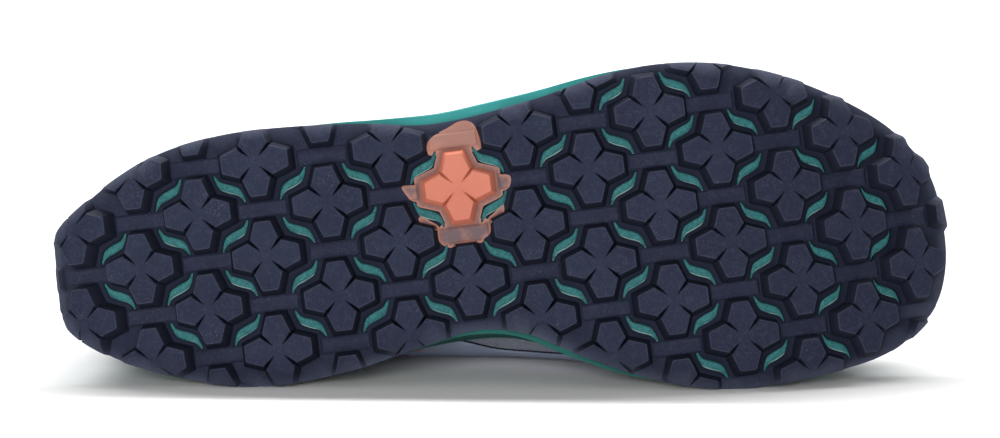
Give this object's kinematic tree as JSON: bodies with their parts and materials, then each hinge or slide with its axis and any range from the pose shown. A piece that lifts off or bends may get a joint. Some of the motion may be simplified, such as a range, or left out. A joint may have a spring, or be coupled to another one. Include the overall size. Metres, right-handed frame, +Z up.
{
  "type": "hiking shoe",
  "caption": "Low-cut lace-up hiking shoe for the right foot, lying on its side, with clover lugs, slits over a foam midsole and a hollow fabric upper.",
  "frame": {"origin": "On the floor under the middle of the shoe's box as it lies on its medial side.", "axes": "X from heel to toe, Y from the tread towards the laces, Z up; metres."},
  "size_m": [0.285, 0.1142, 0.1024],
  "materials": {
    "outsole": "matte, lugged",
    "accent": "matte",
    "midsole": "matte moulded foam",
    "upper": "woven mesh and smooth film",
    "overlay": "smooth synthetic, slight sheen",
    "lining": "soft knitted lining",
    "lace": "flat woven",
    "eyelet": "moulded"
  },
  "bodies": {
    "root": {"outsole": "outsole", "accent_lug": "accent", "midsole": "midsole", "insole": "lining", "upper": "upper", "toe_cap": "overlay", "heel_counter": "overlay", "eyestay_medial": "overlay", "eyestay_lateral": "overlay", "tongue": "lining", "eyelet_medial_1": "eyelet", "eyelet_lateral_1": "eyelet", "eyelet_medial_2": "eyelet", "eyelet_lateral_2": "eyelet", "eyelet_medial_3": "eyelet", "eyelet_lateral_3": "eyelet", "eyelet_medial_4": "eyelet", "eyelet_lateral_4": "eyelet", "eyelet_medial_5": "eyelet", "eyelet_lateral_5": "eyelet", "eyelet_medial_6": "eyelet", "eyelet_lateral_6": "eyelet", "lace_bar": "lace", "lace_cross_1": "lace", "lace_cross_2": "lace", "lace_cross_3": "lace", "lace_cross_4": "lace", "lace_cross_5": "lace"}
  },
  "joints": []
}
